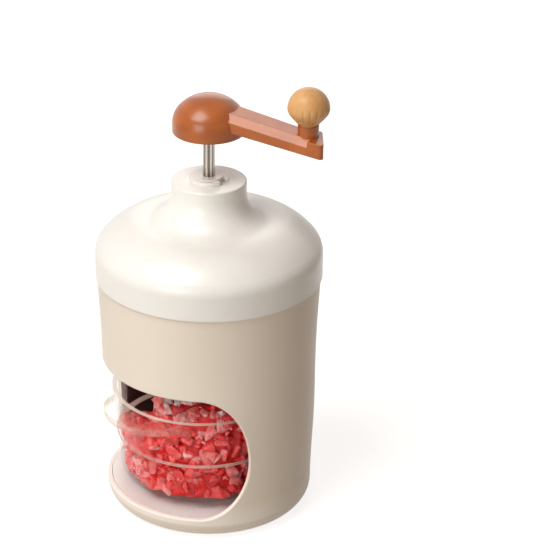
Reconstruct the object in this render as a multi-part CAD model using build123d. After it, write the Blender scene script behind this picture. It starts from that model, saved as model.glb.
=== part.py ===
from build123d import *
import os
from math import asin, cos, degrees, hypot, radians, sin, sqrt, tan

os.makedirs("parts", exist_ok=True)

# Millimetres. +Z is up, the origin is the centre of the foot pad's underside.
# A bearing is an angle about +Z: 0 is the window's middle (-Y), 90 is +X.

# Shell
SHELL_R = 63.4            # outer radius just above the bottom corner
BELLY_SWELL = 1.6         # how much wider than that the shell is at BELLY_Z
WAIST_SWELL = 2.0         # and at WAIST_Z
TOP_SWELL = 4.05          # and at the seam
BELLY_Z = 60.0
WAIST_Z = 105.0
SEAM_Z = 151.6
SEAM_LEAN = 0.05          # how much the side leans outward at the seam
WALL = 2.6
CORNER_R = 11.8
FLANGE_T = 3.6            # inward flange at the shell's bottom
FLANGE_LAP = 12.0         # how far the flange runs in under the pad
PAD_INSET = 15.4          # the pad's edge inside the shell's
PAD_T = 2.0
PAD_PROUD = 1.0           # how far the pad stands below the shell
PAD_GAP = 0.3

# Window
WINDOW_LOW = 15.3
WINDOW_HEIGHT = 81.9
WINDOW_LEFT = -69.8       # bearing of the square end
WINDOW_CORNER_R = 6.0
ROUND_BEARING = 57.0      # bearing that the rounded end faces
ROUND_START = 16.9        # from that bearing back to the ellipse's middle
ROUND_REACH = 30.8        # ellipse's half width
ROUND_MID = 36.7          # ellipse's middle above the window's bottom
ROUND_LAP = 8.4           # how far the two ends of the window overlap
WINDOW_EDGE = 1.0         # rounding of the edge on the outside
LIP_STEP = 0.3            # tray's floor above the window's bottom edge

# Tray, liner and ledge
FIT_GAP = 0.3
TRAY_T = 2.1
SKIRT_INSET = 11.5        # tray's edge to the skirt under it
SKIRT_T = 2.5
LINER_T = 1.6
LINER_GAP = 1.5           # bearing gap between liner and window edge, degrees
STOP_W = 3.0
STOP_H = 16.0
STOP_BEARING = 24.0
LEDGE_T = 3.0
LEDGE_W = 11.8            # ledge's width, in from the shell's inside

# Screws
SCREW_R = 1.5
SCREW_HEAD_R = 2.8
SCREW_HEAD_H = 1.8
SCREW_SLACK = 0.03
BASE_SCREW_INSET = 4.5    # pad's edge to the screws that it hides
BASE_BOSS_R = 4.5
BASE_SCREWS = 3
CUP_SCREW_INSET = 4.8     # cup's wall to its screws
CUP_SCREWS = 3
PLATE_SCREW_INSET = 4.3   # blade plate's edge to its screws
PLATE_SCREWS = 4
PLATE_SCREW_TURN = 45.0

# Ice cup
CUP_T = 2.2
CUP_INSET = 4.6           # shell's waist surface to the cup's wall
CUP_DROP = 3.6            # cup's rim below the seam
KEY_W = 5.0
KEY_GAP = 0.3
KEYS = 3
KEY_TURN = 60.0           # first key's bearing
KEY_DEPTH = 1.3

# Blade set
PLATE_T = 1.5
BLADE_START = 6.0         # cutting edge's inner end
BLADE_SHORT = 4.0         # cutting edge's outer end to the ledge's bore
BLADE_W = 16.0
BLADE_T = 1.2
BLADE_TILT = 30.0
BLADE_GRIND = 3.0         # width of the ground bevel under the edge
BLADE_PROUD = 0.3
SLOT_FRONT = 5.2
SLOT_BACK = 4.6
SLOT_END = 0.6
CLAMP_T = 1.6
CLAMP_W = 8.0
CLAMP_SET = 6.5           # cutting edge to the clamp
BLADE_SCREW_R = 1.25
BLADE_SCREW_HEAD_R = 2.3
BLADE_SCREW_GRIP = 2.2    # depth in the bed
BLADE_SCREW_INSET = 8.0

# Bowl
BOWL_ROOM = 3.3           # liner's inside to the bowl's rim, at its sides
BOWL_FORWARD = 5.5        # bowl's axis in front of the shell's axis
BOWL_TOP = 78.6
BOWL_FLOOR = 21.0
BOWL_T = 1.8
BOWL_RIM_T = 3.0
BOWL_RIM_H = 2.2
BOWL_STEP_Z = 47.5
BOWL_STEP = 1.3
BOWL_TAPER = 5.0          # rim's radius less the wall's, just above the floor's corner
BOWL_CORNER_R = 5.0
BOWL_FOOT_W = 9.0
BOWL_FOOT_D = 4.0
BOWL_FOOT_INSET = 6.6     # wall's foot to the feet under it
BOWL_FEET = 4
BOWL_FOOT_TURN = 50.0
BOWL_LIFT = 0.2           # running gap under the feet
TAB_BEARING = 4.5
TAB_REACH = 15.8          # past the rim
TAB_W = 57.2
TAB_ROOT = 6.1            # rim to the tab's widest line, inside it
TAB_T = 2.0
TAB_LIP = 4.2             # depth of the lip round the tab's edge
TAB_LIP_T = 1.8

# Lid
LID_OVERHANG = 0.95
LID_GAP = 0.3
LID_SKIRT = 14.4
SHOULDER_R = 11.5
SHOULDER_TURN = 39.0
DOME_R = 37.3
DOME_TURN = 86.0
NECK_BLEND_R = 18.3
NECK_H = 6.72
NECK_EDGE = 0.8
LID_T = 2.6
PLUG_GAP = 0.7
PLUG_T = 2.0
PLUG_DEPTH = 8.6
GUIDE_T = 3.2
RIB_T = 1.8
RIB_DEPTH = 20.0
RIBS = 4
RIB_TURN = 45.0           # first rib's bearing

# Bush
SHAFT_R = 3.7
RUN_GAP = 0.05
BUSH_T = 3.25
BUSH_FLANGE_W = 4.8       # flange past the bush's side
BUSH_FLANGE_H = 2.1
BUSH_COLLAR_W = 1.6       # raised collar past the bush's side
BUSH_COLLAR_H = 0.5
BUSH_LIFT = 0.15
BUSH_NOTCH_START = 82.5   # bearings between which the flange is cut away
BUSH_NOTCH_END = 122.5
FLUTES = 8
FLUTE_R = 0.8
FLUTE_KEY_GAP = 0.15
CLIP_T = 1.0
CLIP_W = 3.0              # clip past the bush's side
CLIP_BITE = 0.8
WASHER_T = 0.8
END_GAP = 0.1
BUSH_TAIL = 1.0

# Spindle
CRANK_LIFT = 30.3         # hub above the neck's top in the rest pose
CRANK_FLOAT = 0.8         # what is left of that at the lowest pose
TRAVEL_UP = 18.0
TRAVEL_GAP = 0.4
SPIKE_CLEAR = 2.6         # spike tips above the blade plate at the lowest pose
SPIKE_H = 3.0
SPIKE_R = 1.4
SPIKE_BITE = 1.6
SPIKE_ROWS = 3
SPIKE_STEP = 3            # how many more spikes each row out has
SPIKE_PITCH = 14.0        # row to row
SPIKE_INSET = 10.0        # presser's edge to the outer row
PRESSER_GAP = 4.6         # presser's edge to the cup's wall
PRESSER_T = 2.5
PRESSER_BOSS_T = 5.3      # presser's boss round the shaft
PRESSER_BOSS_H = 8.0
PRESSER_SEAT = 1.4
PRESSER_SCREW_R = 2.0
PRESSER_SCREW_HEAD_R = 3.5
PRESSER_SCREW_HEAD_H = 2.0
PRESSER_SCREW_GRIP = 9.0
PRESSER_WASHER_R = 7.0

# Crank
ARM_BEARING = 112.5
ARM_SLOPE = 9.2
HUB_R = 21.65
HUB_SKIRT = 4.95
HUB_CROWN = 17.9
HUB_EDGE = 1.0
HUB_T = 2.6
HUB_BOSS_T = 3.8          # hub's boss round the shaft
HUB_BOSS_RECESS = 2.6
HUB_POCKET = 9.0
SHAFT_SEAT = 15.0         # shaft's end above the hub's bottom
ARM_TOP = 18.75           # arm's top plane above the hub's bottom, on the axis
ARM_ROOT_W = 10.9         # half width on the axis
ARM_TIP_W = 8.9           # half width at ARM_REF
ARM_ROOT_H = 10.5
ARM_TIP_H = 8.6
ARM_REF = 80.0
ARM_START = 4.0
ARM_BEVEL = 3.9
ARM_EDGE = 0.04           # top edges of the block at the arm's tip
ARM_BEVEL_PAST = 3.34     # how far past the knob's axis the bevel ends
ARM_CUT_PAST = 8.38       # knob's axis to the oblique plane at the tip
ARM_CUT_BEARING = 137.5   # bearing that the tip plane faces
ARM_TIP_ROUND = 2.4
ARM_POCKET_IN = 4.35      # hub's edge to the pocket under the arm
ARM_POCKET_SHORT = 8.8    # knob's axis back to the pocket's end
ARM_POCKET_WALL = 2.4
ARM_POCKET_ROOF = 5.2
PIN_R = 1.5
PIN_HEIGHT = 8.0

# Knob
KNOB_REACH = 62.8
BOSS_R = 6.15
BOSS_TOP = 15.05          # above the hub's bottom
KNOB_FOOT_R = 6.5
KNOB_R = 12.25
KNOB_WIDEST = 8.7
KNOB_FLARE = 37.0
KNOB_PULL = 4.5
AXLE_R = 2.5
AXLE_HEAD_W = 1.7         # axle's head past its stem
AXLE_HEAD_H = 2.2
AXLE_GRIP = 10.0
SLEEVE_T = 2.45
SLEEVE_H = 12.4
KNOB_WASHER_IN = 0.55     # boss's edge to the washer's
KNOB_WASHER_T = 0.8
KNOB_HEAD_SPACE = 3.2

# Places worked out from the sizes above
OPEN_END = 0.5            # how far a cutter runs past the face it opens
FAR = 200.0               # longer than any piece
DIAGONAL = sqrt(0.5)      # sine and cosine of half a right angle
EDGE_STEPS = 4            # stretches between the points looked at on an edge
SHELL_BOTTOM = PAD_PROUD
FLANGE_TOP = SHELL_BOTTOM + FLANGE_T
CORNER_TOP = SHELL_BOTTOM + CORNER_R
WAIST_IN = SHELL_R + WAIST_SWELL - WALL
TOP_IN = SHELL_R + TOP_SWELL - WALL
WINDOW_HIGH = WINDOW_LOW + WINDOW_HEIGHT
WINDOW_RIGHT = -WINDOW_LEFT
TRAY_TOP = WINDOW_LOW + LIP_STEP
TRAY_LOW = TRAY_TOP - TRAY_T
PAD_R = SHELL_R - PAD_INSET
FLANGE_BORE_R = PAD_R - FLANGE_LAP
BASE_SCREW_PCR = PAD_R - BASE_SCREW_INSET
TRAY_R = SHELL_R - WALL - FIT_GAP
SKIRT_R = TRAY_R - SKIRT_INSET
LINER_R = TRAY_R
LEDGE_LOW = WINDOW_HIGH
LEDGE_TOP = LEDGE_LOW + LEDGE_T
LEDGE_BORE_R = WAIST_IN - LEDGE_W
BOWL_R = LINER_R - LINER_T - BOWL_ROOM
BOWL_LOW_R = BOWL_R - BOWL_TAPER
BOWL_FOOT_PCR = BOWL_LOW_R - BOWL_FOOT_INSET
BOWL_BACK_R = BOWL_R + FIT_GAP
CUP_R = SHELL_R + WAIST_SWELL - CUP_INSET
CUP_SCREW_PCR = CUP_R - CUP_SCREW_INSET
CUP_FLANGE_R = WAIST_IN - FIT_GAP
CUP_FLOOR = LEDGE_TOP + CUP_T
CUP_TOP = SEAM_Z - CUP_DROP
PLATE_R = CUP_R - CUP_T - FIT_GAP
PLATE_SCREW_PCR = PLATE_R - PLATE_SCREW_INSET
PLATE_TOP = CUP_FLOOR + PLATE_T
BLADE_LEN = LEDGE_BORE_R - BLADE_SHORT - BLADE_START
BLADE_MID = BLADE_START + BLADE_LEN / 2
LID_R = SHELL_R + TOP_SWELL + LID_OVERHANG
LID_LOW = SEAM_Z + LID_GAP
SKIRT_TOP = LID_LOW + LID_SKIRT
PLUG_R = TOP_IN - PLUG_GAP
PLUG_LOW = SEAM_Z - PLUG_DEPTH
SHOULDER = (LID_R - SHOULDER_R, SKIRT_TOP)
DOME = (SHOULDER[0] - (DOME_R - SHOULDER_R) * cos(radians(SHOULDER_TURN)),
        SHOULDER[1] - (DOME_R - SHOULDER_R) * sin(radians(SHOULDER_TURN)))
BLEND = (DOME[0] + (DOME_R + NECK_BLEND_R) * cos(radians(DOME_TURN)),
         DOME[1] + (DOME_R + NECK_BLEND_R) * sin(radians(DOME_TURN)))
NECK_R = BLEND[0] - NECK_BLEND_R
NECK_TOP = BLEND[1] + NECK_H
HUB_LOW = NECK_TOP + CRANK_LIFT
TRAVEL_DOWN = CRANK_LIFT - CRANK_FLOAT
PRESSER_R = CUP_R - CUP_T - PRESSER_GAP
PRESSER_BOSS_R = SHAFT_R + PRESSER_BOSS_T
SPIKE_TIP = PLATE_TOP + SPIKE_CLEAR + TRAVEL_DOWN
PRESSER_LOW = SPIKE_TIP + SPIKE_H
PRESSER_TOP = PRESSER_LOW + PRESSER_BOSS_H
SHAFT_LOW = PRESSER_LOW + PRESSER_SEAT
SHAFT_TOP = HUB_LOW + SHAFT_SEAT
BUSH_R = SHAFT_R + RUN_GAP + BUSH_T
CLIP_R = BUSH_R + CLIP_W
BUSH_LOW = PRESSER_TOP + TRAVEL_UP + TRAVEL_GAP
CLIP_LOW = BUSH_LOW + BUSH_TAIL
GUIDE_LOW = CLIP_LOW + CLIP_T + END_GAP + WASHER_T + END_GAP
FLANGE_LOW = NECK_TOP + BUSH_LIFT
FLANGE_HIGH = FLANGE_LOW + BUSH_FLANGE_H
BUSH_TOP = FLANGE_HIGH + BUSH_COLLAR_H
HUB_BOSS_R = SHAFT_R + HUB_BOSS_T
ARM_CUT = KNOB_REACH * cos(radians(ARM_CUT_BEARING - ARM_BEARING)) + ARM_CUT_PAST
ARM_BEVEL_END = (KNOB_REACH + ARM_BEVEL_PAST) / cos(radians(ARM_SLOPE))
ARM_POCKET_START = HUB_R + ARM_POCKET_IN
ARM_POCKET_END = KNOB_REACH - ARM_POCKET_SHORT
SLEEVE_R = AXLE_R + RUN_GAP + SLEEVE_T
KNOB_LOW = HUB_LOW + BOSS_TOP + KNOB_WASHER_T + END_GAP

BOTTOM = (Align.CENTER, Align.CENTER, Align.MIN)


def spot(radius, bearing, height=0.0):
    """A point at a radius and bearing from the part's axis."""
    turn = radians(bearing)
    return (radius * sin(turn), -radius * cos(turn), height)


def disc(radius, low, high):
    """A round bar on the part's axis."""
    return Pos(0, 0, low) * Cylinder(radius, high - low, align=BOTTOM)


def tube(outer, inner, low, high):
    """A pipe on the part's axis."""
    return disc(outer, low, high) - disc(inner, low - OPEN_END, high + OPEN_END)


def turned(*lines):
    """A solid turned from a closed outline of radius and height."""
    return revolve(Plane.XZ * make_face(Curve() + list(lines)), Axis.Z)


def sector(inner, outer, low, high, start, end):
    """A piece of pipe between two bearings."""
    size = Rectangle(outer - inner, high - low)
    face = Plane.XZ * Pos((inner + outer) / 2, (low + high) / 2) * size
    return Rot(0, 0, start - 90) * revolve(face, Axis.Z, end - start)


def around(count, radius, first, piece):
    """Copies of a piece, each turned about Z, at even bearings."""
    copies = []
    for index in range(count):
        bearing = first + 360 / count * index
        place = Pos(*spot(radius, bearing)) * Rot(0, 0, bearing)
        copies.append(place * piece)
    return copies


def shell_side(inset):
    """The shell's side, from its bottom corner to the seam."""
    radius = SHELL_R - inset
    points = [
        (radius, CORNER_TOP),
        (radius + BELLY_SWELL, BELLY_Z),
        (radius + WAIST_SWELL, WAIST_Z),
        (radius + TOP_SWELL, SEAM_Z),
    ]
    return Spline(*points, tangents=[(0, 1), (SEAM_LEAN, 1)])


def quarter(centre, radius, start, end):
    """A round stretch of an outline, between two angles in degrees."""
    return CenterArc(centre, radius, start, end - start)


def window():
    """The window's opening: square at the left, rounded at the right."""
    inner = FLANGE_BORE_R
    outer = LID_R + WALL
    lap = degrees(asin((ROUND_START + ROUND_LAP / 2) / SHELL_R))
    left = sector(inner, outer, WINDOW_LOW, WINDOW_HIGH, WINDOW_LEFT, ROUND_BEARING - lap)
    radial = Axis((0, 0, 0), spot(1, WINDOW_LEFT))
    left = fillet(left.edges().filter_by(radial), WINDOW_CORNER_R)
    middle = (-ROUND_START, WINDOW_LOW + ROUND_MID)
    back = middle[0] - ROUND_LAP
    rise = WINDOW_HEIGHT - ROUND_MID
    tip = (middle[0] + ROUND_REACH, middle[1])
    outline = Curve() + [
        Line((back, WINDOW_HIGH), (back, WINDOW_LOW)),
        Line((back, WINDOW_LOW), (middle[0], WINDOW_LOW)),
        EllipticalCenterArc(middle, ROUND_REACH, ROUND_MID, -90, arc_size=90),
        EllipticalCenterArc(middle, ROUND_REACH, rise, 0, arc_size=90),
        Line((middle[0], WINDOW_HIGH), (back, WINDOW_HIGH)),
    ]
    facing = Plane((0, 0, 0), x_dir=spot(1, ROUND_BEARING + 90), z_dir=spot(1, ROUND_BEARING))
    right = facing * Pos(0, 0, inner) * extrude(make_face(outline), outer - inner)
    return left + right


def near_skin(edge):
    """Whether an edge stays near the shell's outside."""
    points = [edge.position_at(step / EDGE_STEPS) for step in range(EDGE_STEPS + 1)]
    return min(hypot(point.X, point.Y) for point in points) > SHELL_R - WALL / 4


def in_window(edge):
    return WINDOW_LOW - FIT_GAP < edge.center().Z < WINDOW_HIGH + FIT_GAP and not edge.is_closed


def shell_form():
    """The shell before it is hollowed, with the window cut and its edge rounded."""
    form = turned(
        Line((FLANGE_BORE_R, SHELL_BOTTOM), (SHELL_R - CORNER_R, SHELL_BOTTOM)),
        quarter((SHELL_R - CORNER_R, CORNER_TOP), CORNER_R, -90, 0),
        shell_side(0),
        Line((SHELL_R + TOP_SWELL, SEAM_Z), (FLANGE_BORE_R, SEAM_Z)),
        Line((FLANGE_BORE_R, SEAM_Z), (FLANGE_BORE_R, SHELL_BOTTOM)),
    )
    seams = [edge.center() for edge in form.edges()]
    form -= window()
    rim = form.edges().filter_by(near_skin).filter_by(in_window)
    rim = rim.filter_by(lambda edge: edge.center() not in seams)
    return fillet(rim, WINDOW_EDGE)


def foot_pad():
    return disc(PAD_R, 0, PAD_T)


def base_screw(low):
    """A screw driven upward, its head's face at the given height."""
    head = disc(SCREW_HEAD_R, low, low + SCREW_HEAD_H)
    return head + disc(SCREW_R, low, TRAY_LOW)


def body_shell():
    reach = CORNER_R - FLANGE_T
    inside = SHELL_R - WALL - reach
    shell = shell_form() - turned(
        Line((0, FLANGE_TOP), (inside, FLANGE_TOP)),
        quarter((inside, CORNER_TOP), reach, -90, 0),
        shell_side(WALL),
        Line((TOP_IN, SEAM_Z), (0, SEAM_Z)),
        Line((0, SEAM_Z), (0, FLANGE_TOP)),
    )
    shell += tube(WAIST_IN + WALL / 2, LEDGE_BORE_R, LEDGE_LOW, LEDGE_TOP)
    shell -= disc(PAD_R + PAD_GAP, SHELL_BOTTOM - OPEN_END, PAD_T)
    head = disc(SCREW_HEAD_R + FIT_GAP, PAD_T - OPEN_END, PAD_T + SCREW_HEAD_H)
    shank = disc(SCREW_R + SCREW_SLACK, SHELL_BOTTOM, TRAY_LOW)
    shell -= around(BASE_SCREWS, BASE_SCREW_PCR, 0, head + shank)
    hole = disc(SCREW_R + SCREW_SLACK, LEDGE_LOW - OPEN_END, LEDGE_TOP + OPEN_END)
    shell -= around(CUP_SCREWS, CUP_SCREW_PCR, 0, hole)
    return shell


def floor_tray():
    tray = disc(TRAY_R, TRAY_LOW, TRAY_TOP)
    tray += tube(SKIRT_R, SKIRT_R - SKIRT_T, FLANGE_TOP, TRAY_LOW)
    boss = disc(BASE_BOSS_R, FLANGE_TOP, TRAY_LOW)
    hole = disc(SCREW_R + SCREW_SLACK, FLANGE_TOP - OPEN_END, TRAY_LOW)
    tray += around(BASE_SCREWS, BASE_SCREW_PCR, 0, boss)
    tray -= around(BASE_SCREWS, BASE_SCREW_PCR, 0, hole)
    return tray


def base_screws():
    return around(BASE_SCREWS, BASE_SCREW_PCR, 0, base_screw(PAD_T))


def rear_liner():
    start = WINDOW_RIGHT + LINER_GAP
    end = 360 + WINDOW_LEFT - LINER_GAP
    top = LEDGE_LOW - FIT_GAP
    liner = sector(LINER_R - LINER_T, LINER_R, TRAY_TOP, top, start, end)
    low = BOWL_TOP - STOP_H
    for bearing in (180 - STOP_BEARING, 180 + STOP_BEARING):
        rib = Box(STOP_W, LINER_R, STOP_H, align=(Align.CENTER, Align.MAX, Align.MIN))
        rib = Rot(0, 0, bearing) * Pos(0, 0, low) * rib
        rib -= Pos(0, -BOWL_FORWARD, 0) * disc(BOWL_BACK_R, low - OPEN_END, LEDGE_LOW)
        rib &= disc(LINER_R - LINER_T / 2, low, LEDGE_LOW)
        liner += rib
    return liner


def ice_cup():
    cup = tube(CUP_FLANGE_R, LEDGE_BORE_R, LEDGE_TOP, CUP_FLOOR)
    cup += tube(CUP_R, CUP_R - CUP_T, LEDGE_TOP, CUP_TOP)
    notch = Box(KEY_W + 2 * KEY_GAP, 4 * CUP_T, 2 * (CUP_TOP - PLUG_LOW + KEY_GAP))
    cup -= around(KEYS, CUP_R, KEY_TURN, Pos(0, 0, CUP_TOP) * notch)
    hole = disc(SCREW_R + SCREW_SLACK, LEDGE_TOP - OPEN_END, CUP_FLOOR + OPEN_END)
    cup -= around(CUP_SCREWS, CUP_SCREW_PCR, 0, hole)
    cup -= around(PLATE_SCREWS, PLATE_SCREW_PCR, PLATE_SCREW_TURN, hole)
    return cup


def cup_screws():
    low = LEDGE_LOW - SCREW_HEAD_H
    screw = disc(SCREW_HEAD_R, low, LEDGE_LOW) + disc(SCREW_R, low, CUP_FLOOR)
    return around(CUP_SCREWS, CUP_SCREW_PCR, 0, screw)


def flush_head(slack):
    """A countersunk screw's head, its flat top level with the blade plate."""
    cone = Cone(SCREW_R + slack, SCREW_R + PLATE_T + slack, PLATE_T, align=BOTTOM)
    return Pos(0, 0, CUP_FLOOR) * cone


def blade_place():
    """The blade's own frame: the edge's middle, X along it, Z out of its top face."""
    tilt = radians(BLADE_TILT)
    middle = (BLADE_MID, 0, PLATE_TOP + BLADE_PROUD)
    return Plane(middle, x_dir=(1, 0, 0), z_dir=(0, -sin(tilt), cos(tilt)))


def strip(length, near, far, low, high):
    """A flat strip in the blade's frame, near to far behind the edge."""
    middle = Pos(0, -(near + far) / 2, (low + high) / 2)
    return blade_place() * middle * Box(length, far - near, high - low)


def blade_holes(radius, low, high):
    """Two round bars through the blade, at right angles to it."""
    bars = []
    back = -(CLAMP_SET + CLAMP_W / 2)
    for side in (-1, 1):
        along = side * (BLADE_LEN / 2 - BLADE_SCREW_INSET)
        bar = Pos(along, back, low) * Cylinder(radius, high - low, align=BOTTOM)
        bars.append(blade_place() * bar)
    return bars


def blade_plate():
    plate = disc(PLATE_R, CUP_FLOOR, PLATE_TOP)
    slope = tan(radians(BLADE_TILT))
    top = PLATE_TOP + BLADE_PROUD
    back = -BLADE_W * cos(radians(BLADE_TILT))
    middle = CUP_FLOOR + PLATE_T / 2
    outline = Polyline(
        (-SLOT_BACK, top - SLOT_BACK * slope),
        (-SLOT_BACK, middle),
        (back, middle),
        (back, top + back * slope),
        close=True,
    )
    across = Plane((BLADE_START, 0, 0), x_dir=(0, 1, 0), z_dir=(1, 0, 0))
    plate += extrude(across * make_face(outline), BLADE_LEN)
    slot_mid = (SLOT_FRONT - SLOT_BACK) / 2
    slot = Box(BLADE_LEN + 2 * SLOT_END, SLOT_FRONT + SLOT_BACK, 4 * PLATE_T)
    plate -= Pos(BLADE_MID, slot_mid, PLATE_TOP) * slot
    hole = flush_head(SCREW_SLACK)
    plate -= around(PLATE_SCREWS, PLATE_SCREW_PCR, PLATE_SCREW_TURN, hole)
    plate -= blade_holes(BLADE_SCREW_R + SCREW_SLACK, -BLADE_T, BLADE_SCREW_GRIP)
    return plate


def plate_screws():
    screw = flush_head(0) + disc(SCREW_R, LEDGE_TOP + END_GAP, CUP_FLOOR)
    return around(PLATE_SCREWS, PLATE_SCREW_PCR, PLATE_SCREW_TURN, screw)


def blade():
    outline = Polyline(
        (0, 0),
        (-BLADE_W, 0),
        (-BLADE_W, -BLADE_T),
        (-BLADE_GRIND, -BLADE_T),
        close=True,
    )
    across = Plane((-BLADE_LEN / 2, 0, 0), x_dir=(0, 1, 0), z_dir=(1, 0, 0))
    steel = blade_place() * extrude(across * make_face(outline), BLADE_LEN)
    return steel - blade_holes(BLADE_SCREW_R + SCREW_SLACK, -2 * BLADE_T, BLADE_T)


def blade_clamp():
    bar = strip(BLADE_LEN, CLAMP_SET, CLAMP_SET + CLAMP_W, -BLADE_T - CLAMP_T, -BLADE_T)
    return bar - blade_holes(BLADE_SCREW_R + SCREW_SLACK, -BLADE_T - 2 * CLAMP_T, 0)


def blade_screws():
    face = -BLADE_T - CLAMP_T
    heads = blade_holes(BLADE_SCREW_HEAD_R, face - SCREW_HEAD_H, face)
    shanks = blade_holes(BLADE_SCREW_R, face - SCREW_HEAD_H / 2, BLADE_SCREW_GRIP)
    return [head + shank for head, shank in zip(heads, shanks)]


def bowl_outline():
    """The bowl's section, from the floor's middle round to the rim."""
    inner_low = BOWL_LOW_R - BOWL_T
    corner_in = BOWL_CORNER_R - BOWL_T
    floor_top = BOWL_FLOOR + BOWL_T
    step_in = BOWL_R - BOWL_RIM_T + BOWL_T - BOWL_STEP
    wall_out = BOWL_R - BOWL_RIM_T + BOWL_T
    rim_low = BOWL_TOP - BOWL_RIM_H
    return [
        Line((0, BOWL_FLOOR), (BOWL_LOW_R - BOWL_CORNER_R, BOWL_FLOOR)),
        quarter((BOWL_LOW_R - BOWL_CORNER_R, BOWL_FLOOR + BOWL_CORNER_R), BOWL_CORNER_R, -90, 0),
        Line((BOWL_LOW_R, BOWL_FLOOR + BOWL_CORNER_R), (step_in - BOWL_STEP, BOWL_STEP_Z)),
        Line((step_in - BOWL_STEP, BOWL_STEP_Z), (step_in, BOWL_STEP_Z + BOWL_STEP)),
        Line((step_in, BOWL_STEP_Z + BOWL_STEP), (wall_out, rim_low - BOWL_RIM_H / 2)),
        Line((wall_out, rim_low - BOWL_RIM_H / 2), (BOWL_R, rim_low)),
        Line((BOWL_R, rim_low), (BOWL_R, BOWL_TOP)),
        Line((BOWL_R, BOWL_TOP), (wall_out - BOWL_T, BOWL_TOP)),
        Line((wall_out - BOWL_T, BOWL_TOP), (step_in - BOWL_T, BOWL_STEP_Z + BOWL_STEP)),
        Line((step_in - BOWL_T, BOWL_STEP_Z + BOWL_STEP), (step_in - BOWL_STEP - BOWL_T, BOWL_STEP_Z)),
        Line((step_in - BOWL_STEP - BOWL_T, BOWL_STEP_Z), (inner_low, BOWL_FLOOR + BOWL_CORNER_R)),
        quarter((inner_low - corner_in, floor_top + corner_in), corner_in, 0, -90),
        Line((inner_low - corner_in, floor_top), (0, floor_top)),
        Line((0, floor_top), (0, BOWL_FLOOR)),
    ]


def tab_form(inset, low):
    """The pull tab's outline, half an oval past the rim, from a height up to the rim's top."""
    middle = -(BOWL_R - TAB_ROOT)
    form = Ellipse(TAB_W / 2 - inset, TAB_ROOT + TAB_REACH - inset)
    return Pos(0, middle, low) * extrude(form, BOWL_TOP - low)


def bowl_tab():
    """The pull tab: a plate level with the rim, with a lip round its edge."""
    lip_low = BOWL_TOP - TAB_LIP
    tab = tab_form(0, lip_low)
    tab -= Pos(0, 0, -TAB_T) * tab_form(TAB_LIP_T, lip_low - OPEN_END)
    tab -= disc(BOWL_R - BOWL_RIM_T / 2, lip_low - OPEN_END, BOWL_TOP + OPEN_END)
    return Rot(0, 0, TAB_BEARING) * tab


def ice_bowl():
    bowl = turned(*bowl_outline())
    foot_low = TRAY_TOP + BOWL_LIFT
    foot = Box(BOWL_FOOT_W, BOWL_FOOT_D, BOWL_FLOOR + BOWL_T / 2 - foot_low, align=BOTTOM)
    foot = Pos(0, 0, foot_low) * foot
    bowl += around(BOWL_FEET, BOWL_FOOT_PCR, BOWL_FOOT_TURN, foot)
    bowl += bowl_tab()
    return Pos(0, -BOWL_FORWARD, 0) * bowl


def lid_side(inset):
    """The lid's side: skirt, shoulder, dome and the hollow curve into the neck."""
    return [
        quarter(SHOULDER, SHOULDER_R - inset, 0, SHOULDER_TURN),
        quarter(DOME, DOME_R - inset, SHOULDER_TURN, DOME_TURN),
        quarter(BLEND, NECK_BLEND_R + inset, 180 + DOME_TURN, 180),
    ]


def lid_dome():
    neck_in = NECK_R - LID_T
    shell = turned(
        Line((LID_R, LID_LOW), (LID_R, SKIRT_TOP)),
        *lid_side(0),
        Line((NECK_R, BLEND[1]), (NECK_R, NECK_TOP - NECK_EDGE)),
        quarter((NECK_R - NECK_EDGE, NECK_TOP - NECK_EDGE), NECK_EDGE, 0, 90),
        Line((NECK_R - NECK_EDGE, NECK_TOP), (0, NECK_TOP)),
        Line((0, NECK_TOP), (0, NECK_TOP - LID_T)),
        Line((0, NECK_TOP - LID_T), (neck_in, NECK_TOP - LID_T)),
        Line((neck_in, NECK_TOP - LID_T), (neck_in, BLEND[1])),
        *lid_side(LID_T),
        Line((LID_R - LID_T, SKIRT_TOP), (LID_R - LID_T, LID_LOW)),
        Line((LID_R - LID_T, LID_LOW), (LID_R, LID_LOW)),
    )
    shell += tube(PLUG_R, PLUG_R - PLUG_T, PLUG_LOW, LID_LOW)
    shell += tube(LID_R - LID_T / 2, PLUG_R - PLUG_T, LID_LOW, LID_LOW + LID_T)
    guide_r = BUSH_R + RUN_GAP + GUIDE_T
    shell += disc(guide_r, GUIDE_LOW, NECK_TOP - LID_T / 2)
    rib = Box(RIB_T, NECK_R - guide_r, RIB_DEPTH - LID_T / 2, align=BOTTOM)
    rib = Pos(0, 0, NECK_TOP - RIB_DEPTH) * rib
    shell += around(RIBS, (NECK_R + guide_r) / 2 - LID_T / 4, RIB_TURN, rib)
    shell -= disc(BUSH_R + RUN_GAP, GUIDE_LOW - OPEN_END, NECK_TOP + OPEN_END)
    key_in = CUP_R - KEY_DEPTH
    key_out = PLUG_R - PLUG_T / 2
    key = Pos(0, 0, PLUG_LOW) * Box(KEY_W, key_out - key_in, CUP_TOP - PLUG_LOW, align=BOTTOM)
    shell += around(KEYS, (key_in + key_out) / 2, KEY_TURN, key)
    return shell


def flute_bars(radius, low, high):
    """Slim bars that stand round the shaft, one to a flute."""
    return around(FLUTES, SHAFT_R + FLUTE_R / 4, 0, disc(radius, low, high))


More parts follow.
